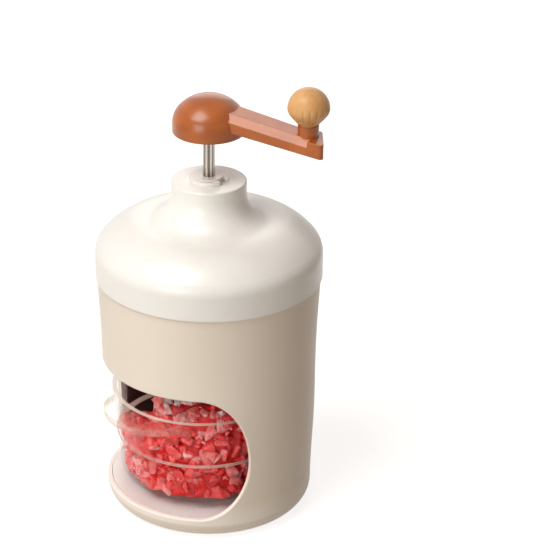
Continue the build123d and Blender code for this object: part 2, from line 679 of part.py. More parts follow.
def spline_bush():
    flange_r = BUSH_R + BUSH_FLANGE_W
    collar_r = BUSH_R + BUSH_COLLAR_W
    bush = disc(flange_r, FLANGE_LOW, FLANGE_HIGH)
    notch = sector(collar_r, flange_r + OPEN_END, NECK_TOP, BUSH_TOP, BUSH_NOTCH_START, BUSH_NOTCH_END)
    bush -= notch
    bush += disc(BUSH_R, BUSH_LOW, BUSH_TOP) + disc(collar_r, FLANGE_LOW, BUSH_TOP)
    bush -= disc(SHAFT_R + RUN_GAP, BUSH_LOW - OPEN_END, BUSH_TOP + OPEN_END)
    bush += flute_bars(FLUTE_R - FLUTE_KEY_GAP, BUSH_LOW, FLANGE_LOW)
    bush -= tube(BUSH_R + OPEN_END, BUSH_R - CLIP_BITE, CLIP_LOW, CLIP_LOW + CLIP_T)
    return bush


def bush_washer():
    low = CLIP_LOW + CLIP_T + END_GAP
    return tube(CLIP_R, BUSH_R + RUN_GAP, low, low + WASHER_T)


def bush_clip():
    ring = tube(CLIP_R, BUSH_R - CLIP_BITE, CLIP_LOW, CLIP_LOW + CLIP_T)
    gap = Pos(0, -CLIP_R, CLIP_LOW) * Box(BUSH_R, 2 * CLIP_R, 2 * CLIP_T + OPEN_END)
    return ring - gap


def drive_shaft():
    shaft = disc(SHAFT_R, SHAFT_LOW, SHAFT_TOP)
    shaft -= flute_bars(FLUTE_R, PRESSER_TOP, HUB_LOW + HUB_BOSS_RECESS)
    shaft -= disc(PRESSER_SCREW_R + SCREW_SLACK, SHAFT_LOW - OPEN_END, PRESSER_LOW + PRESSER_SCREW_GRIP)
    return shaft - pin_bar(PIN_R + SCREW_SLACK)


def pin_bar(radius):
    """The cross pin's bar, through the hub's boss and across the arm."""
    bar = Rot(0, 90, 0) * Cylinder(radius, 2 * HUB_BOSS_R)
    return Pos(0, 0, HUB_LOW + PIN_HEIGHT) * Rot(0, 0, ARM_BEARING) * bar


def in_spike_rows(piece):
    """Copies of a piece at every spike's place under the presser."""
    copies = []
    for row in range(SPIKE_ROWS):
        radius = PRESSER_R - SPIKE_INSET - SPIKE_PITCH * row
        copies += around(SPIKE_STEP * (SPIKE_ROWS - row), radius, 0, piece)
    return copies


def presser_plate():
    plate = disc(PRESSER_R, PRESSER_LOW, PRESSER_LOW + PRESSER_T)
    plate += disc(PRESSER_BOSS_R, PRESSER_LOW, PRESSER_TOP)
    plate -= disc(SHAFT_R + SCREW_SLACK, SHAFT_LOW, PRESSER_TOP + OPEN_END)
    plate -= disc(PRESSER_SCREW_R + SCREW_SLACK, PRESSER_LOW - OPEN_END, SHAFT_LOW + OPEN_END)
    socket = disc(SPIKE_R + SCREW_SLACK, PRESSER_LOW - OPEN_END, PRESSER_LOW + SPIKE_BITE)
    return plate - in_spike_rows(socket)


def presser_spikes():
    tip = Pos(0, 0, SPIKE_TIP) * Cone(SPIKE_R / 4, SPIKE_R, SPIKE_H, align=BOTTOM)
    spike = tip + disc(SPIKE_R, PRESSER_LOW, PRESSER_LOW + SPIKE_BITE)
    return in_spike_rows(spike)


def presser_washer():
    return tube(PRESSER_WASHER_R, PRESSER_SCREW_R + SCREW_SLACK, PRESSER_LOW - WASHER_T, PRESSER_LOW)


def presser_screw():
    face = PRESSER_LOW - WASHER_T
    head = disc(PRESSER_SCREW_HEAD_R, face - PRESSER_SCREW_HEAD_H, face)
    return head + disc(PRESSER_SCREW_R, face, PRESSER_LOW + PRESSER_SCREW_GRIP - END_GAP)


def arm_half(along):
    """The arm's half width at a distance along it."""
    return ARM_ROOT_W + (ARM_TIP_W - ARM_ROOT_W) * along / ARM_REF


def arm_depth(along):
    """The arm's depth at a distance along it."""
    return ARM_ROOT_H + (ARM_TIP_H - ARM_ROOT_H) * along / ARM_REF


def arm_section(along, bevel):
    """The arm's section across it, top edges bevelled."""
    half = arm_half(along)
    depth = arm_depth(along)
    outline = Polyline(
        (half, -depth),
        (half, -bevel),
        (half - bevel, 0),
        (bevel - half, 0),
        (-half, -bevel),
        (-half, -depth),
        close=True,
    )
    across = Plane((along, 0, 0), x_dir=(0, 1, 0), z_dir=(1, 0, 0))
    return across * make_face(outline)


def arm_frame():
    """The arm's frame: its top plane on the axis, X outward and down its slope."""
    slope = radians(ARM_SLOPE)
    out = spot(cos(slope), ARM_BEARING, -sin(slope))
    up = spot(sin(slope), ARM_BEARING, cos(slope))
    return Plane((0, 0, HUB_LOW + ARM_TOP), x_dir=out, z_dir=up)


def arm_bar():
    """The sloping arm, bevelled up to the block that carries the knob."""
    long_end = 2 * ARM_CUT
    beam = [arm_section(ARM_START, ARM_BEVEL), arm_section(ARM_BEVEL_END, ARM_BEVEL)]
    block = [arm_section(ARM_BEVEL_END, ARM_EDGE), arm_section(long_end, ARM_EDGE)]
    bar = arm_frame() * (loft(beam, ruled=True) + loft(block, ruled=True))
    cutter = Box(FAR, FAR, 4 * FAR, align=(Align.CENTER, Align.MAX, Align.CENTER))
    bar -= Rot(0, 0, ARM_CUT_BEARING) * Pos(0, -ARM_CUT, 0) * cutter
    tip_edges = bar.edges().filter_by(lambda edge: edge.length > ARM_TIP_H / 2)
    tip_edges = tip_edges.filter_by(Axis((0, 0, 0), arm_frame().z_dir), tolerance=ARM_SLOPE * 2)
    tip_edges = tip_edges.filter_by(lambda edge: hypot(edge.center().X, edge.center().Y) > ARM_BEVEL_END)
    return fillet(tip_edges, ARM_TIP_ROUND)


def arm_pocket():
    """The hollow under the arm."""
    faces = []
    for along in (ARM_POCKET_START, ARM_POCKET_END):
        width = 2 * (arm_half(along) - ARM_POCKET_WALL)
        low = -arm_depth(along) - OPEN_END
        height = -ARM_POCKET_ROOF - low
        across = Plane((along, 0, 0), x_dir=(0, 1, 0), z_dir=(1, 0, 0))
        faces.append(across * Pos(0, low + height / 2) * Rectangle(width, height))
    return arm_frame() * loft(faces, ruled=True)


def crank_hub(inset):
    """The hub's dome, its side set in by a wall."""
    radius = HUB_R - inset
    crown = HUB_CROWN - inset
    edge = HUB_LOW + HUB_SKIRT
    low = HUB_LOW if inset == 0 else HUB_LOW - OPEN_END
    outline = [
        Line((0, low), (radius, low)),
        Line((radius, low), (radius, edge)),
        Spline(
            (radius, edge),
            (radius * DIAGONAL, edge + crown * DIAGONAL),
            (0, edge + crown),
            tangents=[(0, 1), (-1, 0)],
        ),
        Line((0, edge + crown), (0, low)),
    ]
    return turned(*outline)


def crank_arm():
    hub = crank_hub(0)
    hub = fillet(hub.edges().filter_by(GeomType.CIRCLE).sort_by(Axis.Z)[0], HUB_EDGE)
    pocket = crank_hub(HUB_T) & disc(HUB_R, HUB_LOW - OPEN_END, HUB_LOW + HUB_POCKET)
    crank = hub + arm_bar()
    crank += at_knob(disc(BOSS_R, knob_root(), HUB_LOW + BOSS_TOP))
    crank -= pocket
    crank -= arm_pocket()
    crank += disc(HUB_BOSS_R, HUB_LOW + HUB_BOSS_RECESS, HUB_LOW + HUB_POCKET + OPEN_END)
    crank -= disc(SHAFT_R + SCREW_SLACK, HUB_LOW - OPEN_END, SHAFT_TOP)
    crank -= pin_bar(PIN_R + SCREW_SLACK)
    return crank - at_knob(disc(AXLE_R + SCREW_SLACK, axle_low(), 2 * FAR))


def knob_root():
    """A height inside the arm, right under the knob."""
    along = KNOB_REACH / cos(radians(ARM_SLOPE))
    return HUB_LOW + ARM_TOP - along * sin(radians(ARM_SLOPE)) - arm_depth(along) / 2


def axle_low():
    return HUB_LOW + BOSS_TOP - AXLE_GRIP


def at_knob(piece):
    return Pos(*spot(KNOB_REACH, ARM_BEARING)) * piece


def crank_pin():
    return pin_bar(PIN_R)


def knob_axle():
    head_low = KNOB_LOW + SLEEVE_H + END_GAP
    stem = disc(AXLE_R, axle_low(), head_low)
    return at_knob(stem + disc(AXLE_R + AXLE_HEAD_W, head_low, head_low + AXLE_HEAD_H))


def knob_washer():
    low = HUB_LOW + BOSS_TOP
    return at_knob(tube(BOSS_R - KNOB_WASHER_IN, AXLE_R + RUN_GAP, low, low + KNOB_WASHER_T))


def knob():
    foot = (KNOB_FOOT_R, KNOB_LOW)
    widest = (KNOB_R, KNOB_LOW + KNOB_WIDEST)
    flare = radians(KNOB_FLARE)
    pull = (foot[0] + KNOB_PULL * sin(flare), foot[1] + KNOB_PULL * cos(flare))
    body = turned(
        Line((0, KNOB_LOW), foot),
        Bezier(foot, pull, (KNOB_R, widest[1] - KNOB_PULL * cos(flare)), widest),
        quarter((0, widest[1]), KNOB_R, 0, 90),
        Line((0, widest[1] + KNOB_R), (0, KNOB_LOW)),
    )
    body -= disc(SLEEVE_R, KNOB_LOW - OPEN_END, KNOB_LOW + SLEEVE_H + KNOB_HEAD_SPACE)
    return at_knob(body)


def knob_sleeve():
    return at_knob(tube(SLEEVE_R, AXLE_R + RUN_GAP, KNOB_LOW, KNOB_LOW + SLEEVE_H))


def write(name, piece):
    """One node's file, holding one solid or a group of equal ones."""
    solids = piece if isinstance(piece, list) else piece.solids()
    group = Compound(children=[Solid(solid.solid().wrapped) for solid in solids])
    export_step(group, f"parts/{name}.step")


PIECES = [
    foot_pad, body_shell, floor_tray, base_screws, rear_liner, ice_cup, cup_screws,
    blade_plate, plate_screws, blade, blade_clamp, blade_screws,
    lid_dome,
    spline_bush, bush_washer, bush_clip,
    drive_shaft, presser_plate, presser_spikes, presser_washer, presser_screw,
    crank_arm, crank_pin, knob_axle, knob_washer,
    knob, knob_sleeve,
    ice_bowl,
]

for make in PIECES:
    write(make.__name__, make())
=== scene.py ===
import math
import random

import bmesh
import bpy
from mathutils import Matrix, Vector, noise


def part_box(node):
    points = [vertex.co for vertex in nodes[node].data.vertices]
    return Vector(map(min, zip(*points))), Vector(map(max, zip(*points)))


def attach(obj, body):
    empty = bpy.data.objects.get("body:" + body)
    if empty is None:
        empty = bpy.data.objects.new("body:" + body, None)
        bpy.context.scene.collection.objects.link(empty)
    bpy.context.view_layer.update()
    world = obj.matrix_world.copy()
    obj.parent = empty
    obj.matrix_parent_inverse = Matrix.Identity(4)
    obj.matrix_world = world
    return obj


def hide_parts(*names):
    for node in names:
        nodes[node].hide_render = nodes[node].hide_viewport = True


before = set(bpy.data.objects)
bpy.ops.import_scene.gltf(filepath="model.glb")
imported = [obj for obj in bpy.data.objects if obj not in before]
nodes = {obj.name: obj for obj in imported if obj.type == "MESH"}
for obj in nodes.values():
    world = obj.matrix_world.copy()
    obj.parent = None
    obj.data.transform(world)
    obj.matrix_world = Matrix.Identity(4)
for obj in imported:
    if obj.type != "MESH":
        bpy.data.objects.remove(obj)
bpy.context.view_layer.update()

MM = 0.001

# Sizes that the finishes follow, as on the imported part.
CUT_WALL = (7.0 * MM, 4.2 * MM)      # the window's cut wall, in from the shell's outside
BAY_HEIGHT = (12 * MM, 104 * MM)
FLUTE_DEPTH = (3.0 * MM, 3.6 * MM)   # the shaft's radius in its flutes and on its lands
KNOB_FOOT_R = 6.5 * MM
KNOB_BORE_R = 5.05 * MM
KNOB_BORE_DEPTH = 14 * MM
RIM_BAND = (3.0 * MM, 0.2 * MM)      # the bowl's rim, in from its outside
STEP_BAND = (47.4 * MM, 48.8 * MM)   # the bowl's step, above the table
SOFT_EDGE = 0.3 * MM
TAB_ROOT = 6.1 * MM
TAB_HALF_W = 28.6 * MM
TAB_TURN = math.radians(4.5)
BOWL_FLOOR = 23.0 * MM
BOWL_STEP = 48 * MM
HEAP_TOP = 92.5 * MM                 # below the blade plate

# The photograph's view: a point on the shaver's axis, seen from this bearing and height.
VIEW_TARGET = Vector((0, 0, 0.130))
VIEW_DISTANCE = 1.40
VIEW_BEARING = math.radians(47.5)
VIEW_HEIGHT = math.radians(26.05)
FOCAL_PIXELS = 2308.3
FRAME_PIXELS = 560
TARGET_PIXEL = (209.0, 304.16)
SENSOR = 36.0


def linear(value):
    """One sRGB channel, 0 to 255, as the linear value that a shader takes."""
    part = value / 255
    return part / 12.92 if part <= 0.04045 else ((part + 0.055) / 1.055) ** 2.4


def rgb(red, green, blue):
    return (linear(red), linear(green), linear(blue), 1.0)


class Nodes:
    """Short words for building one material's node tree."""

    def __init__(self, name):
        self.material = bpy.data.materials.new(name)
        self.material.use_nodes = True
        self.tree = self.material.node_tree
        self.tree.nodes.clear()
        self.shader = self.tree.nodes.new("ShaderNodeBsdfPrincipled")
        self.out = self.tree.nodes.new("ShaderNodeOutputMaterial")
        self.link(self.shader.outputs["BSDF"], self.out.inputs["Surface"])
        self.place = self.tree.nodes.new("ShaderNodeTexCoord").outputs["Object"]

    def link(self, source, target):
        self.tree.links.new(source, target)

    def set(self, **values):
        for name, value in values.items():
            self.shader.inputs[name.replace("_", " ")].default_value = value
        return self

    def noise(self, scale, detail=3.0, stretch=(1, 1, 1), distortion=0.0):
        mapping = self.tree.nodes.new("ShaderNodeMapping")
        mapping.inputs["Scale"].default_value = stretch
        self.link(self.place, mapping.inputs["Vector"])
        node = self.tree.nodes.new("ShaderNodeTexNoise")
        node.inputs["Scale"].default_value = scale
        node.inputs["Detail"].default_value = detail
        node.inputs["Distortion"].default_value = distortion
        self.link(mapping.outputs["Vector"], node.inputs["Vector"])
        return node.outputs["Fac"]

    def cells(self, scale):
        """A crystal pattern, each cell with its own value."""
        node = self.tree.nodes.new("ShaderNodeTexVoronoi")
        node.inputs["Scale"].default_value = scale
        self.link(self.place, node.inputs["Vector"])
        return node.outputs["Color"]

    def ramp(self, source, *stops):
        node = self.tree.nodes.new("ShaderNodeValToRGB")
        ends = node.color_ramp.elements
        while len(ends) < len(stops):
            ends.new(0.5)
        for end, (position, colour) in zip(ends, stops):
            end.position = position
            end.color = colour
        self.link(source, node.inputs["Fac"])
        return node.outputs["Color"]

    def span(self, source, low, high, from_low=0.0, from_high=1.0):
        node = self.tree.nodes.new("ShaderNodeMapRange")
        node.inputs["From Min"].default_value = from_low
        node.inputs["From Max"].default_value = from_high
        node.inputs["To Min"].default_value = low
        node.inputs["To Max"].default_value = high
        self.link(source, node.inputs["Value"])
        return node.outputs["Result"]

    def mix(self, factor, first, second, blend="MIX"):
        node = self.tree.nodes.new("ShaderNodeMix")
        node.data_type = "RGBA"
        node.blend_type = blend
        self.put(node.inputs[0], factor)
        self.put(node.inputs[6], first)
        self.put(node.inputs[7], second)
        return node.outputs[2]

    def put(self, socket, value):
        if isinstance(value, bpy.types.NodeSocket):
            self.link(value, socket)
        else:
            socket.default_value = value

    def colour(self, source):
        self.link(source, self.shader.inputs["Base Color"])
        return self

    def rough(self, source):
        self.link(source, self.shader.inputs["Roughness"])
        return self

    def bump(self, source, height, strength=1.0):
        node = self.tree.nodes.new("ShaderNodeBump")
        node.inputs["Distance"].default_value = height
        node.inputs["Strength"].default_value = strength
        self.link(source, node.inputs["Height"])
        self.link(node.outputs["Normal"], self.shader.inputs["Normal"])
        return self

    def soft_edges(self, radius):
        """Rounds the look of every edge by a radius in metres, under any bump."""
        node = self.tree.nodes.new("ShaderNodeBevel")
        node.samples = 6
        node.inputs["Radius"].default_value = radius
        target = self.shader.inputs["Normal"]
        if target.is_linked:
            target = target.links[0].from_node.inputs["Normal"]
        self.link(node.outputs["Normal"], target)
        return self

    def along(self, axis):
        """The surface point's X, Y or Z, in metres."""
        node = self.tree.nodes.new("ShaderNodeSeparateXYZ")
        self.link(self.place, node.inputs["Vector"])
        return node.outputs[axis]

    def math(self, kind, first, second=0.0):
        node = self.tree.nodes.new("ShaderNodeMath")
        node.operation = kind
        self.put(node.inputs[0], first)
        self.put(node.inputs[1], second)
        return node.outputs[0]

    def reach(self, centre, widths=(1.0, 1.0)):
        """Distance from an upright axis, each way measured in its own width."""
        across = [
            self.math("DIVIDE", self.math("SUBTRACT", self.along(axis), centre[axis]), widths[axis])
            for axis in (0, 1)
        ]
        squares = [self.math("MULTIPLY", part, part) for part in across]
        return self.math("SQRT", self.math("ADD", *squares))

    def within(self, value, low, high, soft):
        """1 between two values and 0 outside them, with soft ends."""
        rise = self.span(value, 0, 1, low - soft, low)
        fall = self.span(value, 1, 0, high, high + soft)
        return self.math("MULTIPLY", rise, fall)


def plastic(name, pale, deep, roughness, coat=0.25, grain=0.00002, soft=0.0):
    """Moulded plastic: slight cloudiness, a fine moulded grain and a satin coat."""
    made = Nodes(name).set(IOR=1.47, Coat_Weight=coat, Coat_Roughness=0.22, Subsurface_Weight=soft)
    made.set(Subsurface_Scale=0.004, Subsurface_Radius=(1.0, 0.7, 0.5))
    cloud = made.noise(14, 4)
    made.colour(made.ramp(cloud, (0.3, pale), (0.75, deep)))
    made.rough(made.span(made.noise(260, 5), roughness - 0.05, roughness + 0.07))
    made.bump(made.noise(1500, 2), grain)
    return made.material


def steel(name, tone, roughness, stretch):
    """Steel with fine drawn or ground lines."""
    made = Nodes(name).set(Metallic=1.0)
    lines = made.noise(900, 3, stretch)
    shade = tuple(part * 0.82 for part in tone[:3]) + (1,)
    made.colour(made.ramp(lines, (0.25, shade), (0.75, tone)))
    made.rough(made.span(lines, roughness - 0.06, roughness + 0.1))
    made.bump(lines, 0.00001)
    return made.material


def shell_plastic():
    """Warm cream, with a painted highlight on the wall's cut face round the window."""
    made = Nodes("shell_plastic").set(IOR=1.45, Specular_IOR_Level=0.3)
    cloud = made.noise(14, 4)
    base = made.ramp(cloud, (0.3, rgb(244, 233, 219)), (0.75, rgb(239, 227, 211)))
    low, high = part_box("body_shell")
    outside = (high.x - low.x) / 2
    off = made.reach(((high.x + low.x) / 2, (high.y + low.y) / 2))
    # Painted highlight: the cut face of the wall round the window is coloured paler than the rest of the
    # shell.
    wall = made.within(off, outside - CUT_WALL[0], outside - CUT_WALL[1], SOFT_EDGE)
    bay = made.within(made.along(2), *BAY_HEIGHT, 1 * MM)
    made.colour(made.mix(made.math("MULTIPLY", wall, bay), base, rgb(255, 250, 243)))
    made.rough(made.span(made.noise(260, 5), 0.34, 0.45))
    made.bump(made.noise(1500, 2), 0.00002)
    return made.material


def lid_plastic():
    return plastic("lid_plastic", rgb(246, 244, 239), rgb(241, 239, 233), 0.32, 0.3, soft=0.04)


def bush_plastic():
    return plastic("bush_plastic", rgb(244, 240, 233), rgb(236, 231, 223), 0.35)


def tray_plastic():
    return plastic("tray_plastic", rgb(243, 241, 239), rgb(234, 232, 230), 0.32)


def liner_painted_shade():
    # Painted shade: the liner's near-black brown stands in for the deep shade inside the body behind the
    # bowl.
    return plastic("liner_painted_shade", rgb(76, 62, 54), rgb(62, 50, 43), 0.5)


def cup_plastic():
    return plastic("cup_plastic", rgb(240, 239, 235), rgb(232, 231, 227), 0.35)


def nylon():
    return plastic("nylon", rgb(236, 235, 230), rgb(225, 224, 218), 0.45)


def pad_silicone():
    return plastic("pad_silicone", rgb(232, 218, 199), rgb(222, 207, 188), 0.7, 0.0, 0.00006)


def crank_plastic():
    """Caramel brown, with faint streaks along it."""
    made = Nodes("crank_plastic").set(IOR=1.45, Specular_IOR_Level=0.5)
    made.set(Coat_Weight=0.3, Coat_Roughness=0.2)
    streak = made.noise(38, 4, (1, 1, 2.6), 0.6)
    made.colour(made.ramp(streak, (0.3, rgb(184, 96, 10)), (0.72, rgb(156, 74, 4))))
    made.rough(made.span(made.noise(200, 4), 0.26, 0.38))
    made.bump(made.noise(900, 3), 0.00002)
    return made.soft_edges(0.7 * MM).material


def knob_plastic():
    made = Nodes("knob_plastic").set(IOR=1.46, Coat_Weight=0.15, Coat_Roughness=0.35)
    streak = made.noise(60, 4, (3, 3, 0.5), 0.4)
    made.colour(made.ramp(streak, (0.28, rgb(224, 172, 112)), (0.75, rgb(206, 150, 90))))
    made.rough(made.span(made.noise(240, 4), 0.4, 0.52))
    made.bump(made.noise(1200, 3), 0.00003)
    return made.material


def fluted_steel():
    """The shaft: bright lands and painted shade in the flutes, with drawn lines along it."""
    made = Nodes("fluted_steel").set(Metallic=1.0)
    lines = made.noise(1400, 3, (1, 1, 0.04))
    # Painted shade: the flutes are coloured dark brown, turning to the land's steel as the radius rises from
    # flute to land.
    depth = made.span(made.reach((0, 0)), 0, 1, *FLUTE_DEPTH)
    land = made.ramp(lines, (0.3, rgb(176, 168, 158)), (0.7, rgb(208, 201, 192)))
    made.colour(made.mix(depth, rgb(58, 48, 42), land))
    made.rough(made.span(lines, 0.14, 0.3))
    made.bump(lines, 0.00001)
    return made.material


def clear_plastic():
    """The bowl: clear plastic, with painted highlights as pale, near-opaque lines along its rim, its step
    and the tab's lip, and a painted sheen where it is seen edge-on.
    """
    made = Nodes("clear_plastic").set(IOR=1.13, Specular_IOR_Level=0.7)
    low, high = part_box("ice_bowl")
    middle = bowl_middle()
    radius = (high.x - low.x) / 2
    height = made.along(2)
    off = made.reach((middle.x, middle.y))
    # Painted highlights: bands on the rim's top, round the step and along the tab's lip.
    top = made.math("GREATER_THAN", height, high.z - 0.4 * MM)
    ring = made.within(off, radius - RIM_BAND[0], radius - RIM_BAND[1], SOFT_EDGE)
    rim = made.math("MULTIPLY", top, ring)
    step = made.within(height, *STEP_BAND, SOFT_EDGE)
    outside = made.math("GREATER_THAN", off, radius + 0.2 * MM)
    tab_end = middle.y - low.y
    tab_deep = tab_end - radius + TAB_ROOT
    root = tab_end - tab_deep
    tab_middle = (middle.x + root * math.sin(TAB_TURN), middle.y - root * math.cos(TAB_TURN))
    oval = made.reach(tab_middle, (TAB_HALF_W, tab_deep))
    lip = made.math("MULTIPLY", outside, made.span(oval, 0, 0.5, 0.93, 0.96))
    lines = made.math("MAXIMUM", made.math("MAXIMUM", rim, step), lip)
    graze = made.tree.nodes.new("ShaderNodeLayerWeight").outputs["Facing"]
    tint = made.ramp(made.noise(30, 3), (0.3, rgb(252, 249, 243)), (0.8, rgb(246, 240, 230)))
    tab_tint = made.mix(outside, tint, rgb(240, 236, 208))
    # The painted highlight bands take a near-white colour and lose most of their clearness.
    made.colour(made.mix(lines, tab_tint, rgb(255, 248, 238)))
    made.link(made.span(lines, 1.0, 0.15), made.shader.inputs["Transmission Weight"])
    highlight_and_tab_opacity = made.math("MAXIMUM", made.span(lines, 0.1, 0.8), made.span(outside, 0.0, 0.14))
    # Painted sheen: where the bowl is seen edge-on, its pale colour shows more opaquely.
    edge = made.span(graze, 0.0, 0.45, 0.82, 1.0)
    made.link(made.math("MAXIMUM", highlight_and_tab_opacity, edge), made.shader.inputs["Alpha"])
    made.rough(made.span(made.noise(400, 4, (1, 1, 0.2)), 0.03, 0.12))
    made.bump(made.noise(90, 2), 0.00002)
    return made.material


def ice_material():
    """Shaved ice soaked in red syrup, each grain with its own depth of red, which also carries painted light
    and shade across the heap.
    """
    made = Nodes("syrup_ice").set(IOR=1.31, Coat_Weight=0.35, Coat_Roughness=0.2)
    made.set(Subsurface_Weight=0.45, Subsurface_Scale=0.004, Subsurface_Radius=(1.0, 0.4, 0.35))
    tint = made.tree.nodes.new("ShaderNodeAttribute")
    tint.attribute_name = "tint"
    patch = made.span(made.noise(130, 5, distortion=0.8), -0.3, 0.3)
    crystals = made.span(made.cells(420), -0.1, 0.12)
    shade = made.math("ADD", made.math("ADD", tint.outputs["Fac"], patch), crystals)
    made.colour(made.ramp(
        shade,
        (0.05, rgb(176, 10, 14)),
        (0.25, rgb(226, 34, 36)),
        (0.45, rgb(248, 76, 76)),
        (0.62, rgb(252, 112, 110)),
        (0.80, rgb(253, 162, 162)),
        (0.97, rgb(255, 222, 224)),
    ))
    made.rough(made.span(made.noise(300, 4), 0.2, 0.5))
    made.bump(made.noise(420, 5), 0.0006, 0.7)
    made.soft_edges(1.1 * MM)
    return made.material


def dress(material, *names):
    """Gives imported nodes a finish."""
    for name in names:
        mesh = nodes[name].data
        mesh.materials.clear()
        mesh.materials.append(material)


def add_mesh(name, mesh_maker, material, body):
    """A new piece from bmesh code, riding on a body."""
    mesh = bpy.data.meshes.new(name)
    made = bmesh.new()
    mesh_maker(made)
    made.to_mesh(mesh)
    made.free()
    mesh.shade_smooth()
    mesh.materials.append(material)
    piece = bpy.data.objects.new(name, mesh)
    bpy.context.scene.collection.objects.link(piece)
    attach(piece, body)
    return piece


def finish_nodes():
    dress(shell_plastic(), "body_shell")
    dress(lid_plastic(), "lid_dome")
    dress(bush_plastic(), "spline_bush")
    dress(tray_plastic(), "floor_tray")
    dress(liner_painted_shade(), "rear_liner")
    dress(cup_plastic(), "ice_cup", "presser_plate")
    dress(nylon(), "bush_washer", "knob_sleeve")
    dress(pad_silicone(), "foot_pad")
    dress(crank_plastic(), "crank_arm")
    dress(knob_plastic(), "knob_washer")
    dress(clear_plastic(), "ice_bowl")
    dress(fluted_steel(), "drive_shaft")
    dress(steel("drawn_steel", (0.62, 0.6, 0.57, 1), 0.26, (1, 1, 0.05)), "crank_pin", "knob_axle")
    ground = steel("ground_steel", (0.66, 0.66, 0.65, 1), 0.24, (0.08, 1, 1))
    dress(ground, "blade", "blade_plate", "blade_clamp")
    dress(ground, "bush_clip", "presser_spikes", "presser_washer")
    zinc = steel("zinc_screws", (0.6, 0.6, 0.6, 1), 0.3, (1, 1, 1))
    dress(zinc, "base_screws", "cup_screws", "plate_screws", "blade_screws", "presser_screw")


def bowl_middle():
    """The bowl's axis: the tab widens its box in -Y, so Y comes from its back and its width."""
    low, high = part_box("ice_bowl")
    return Vector(((high.x + low.x) / 2, high.y - (high.x - low.x) / 2, 0))


def ease(value, start, end):
    """0 before start, 1 after end, and a smooth rise between."""
    share = min(max((value - start) / (end - start), 0), 1)
    return share * share * (3 - 2 * share)


def revolve_rows(made, rows):
    """Joins rings of vertices into one closed skin."""
    for lower, upper in zip(rows, rows[1:]):
        count = len(lower)
        for index in range(count):
            after = (index + 1) % count
            made.faces.new((lower[index], lower[after], upper[after], upper[index]))
    made.faces.new(list(reversed(rows[0])))
    made.faces.new(rows[-1])


def grooved_knob():
    """The pear-shaped knob, with shallow upright grooves round its lower half."""
    low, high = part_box("knob")
    middle = (low + high) / 2
    widest = (high.x - low.x) / 2
    wide_at = high.z - low.z - widest
    grooves, spokes, steps = 18, 216, 26
    groove_deep = 0.34 * MM

    def radius(height):
        if height >= wide_at:
            return math.sqrt(max(widest ** 2 - (height - wide_at) ** 2, 0))
        share = height / wide_at
        slope = 1.0 + 0.55 * (1 - share) * share
        return KNOB_FOOT_R + (widest - KNOB_FOOT_R) * math.sin(share * math.pi / 2) ** slope

    def ring(made, height, reaches):
        places = []
        for spoke, reach in enumerate(reaches):
            turn = 2 * math.pi * spoke / spokes
            place = (middle.x + reach * math.cos(turn), middle.y + reach * math.sin(turn), low.z + height)
            places.append(made.verts.new(place))
        return places

    def skin(made):
        heights = [wide_at * step / steps for step in range(steps + 1)]
        heights += [wide_at + widest * math.sin(step / steps * math.pi / 2) for step in range(1, steps)]
        rows = [ring(made, height, [KNOB_BORE_R] * spokes) for height in (KNOB_BORE_DEPTH, 0.0)]
        for height in heights:
            fade = ease(height, wide_at * 1.05, wide_at * 1.45)
            cut = ease(height, 0.6 * MM, 2.6 * MM) * (1 - fade)
            reaches = []
            for spoke in range(spokes):
                wave = 0.5 + 0.5 * math.cos(2 * math.pi * grooves * spoke / spokes)
                reaches.append(radius(height) - groove_deep * cut * wave ** 6)
            rows.append(ring(made, height, reaches))
        revolve_rows(made, rows)

    piece = add_mesh("knob_grip", skin, knob_plastic(), "knob")
    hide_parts("knob")


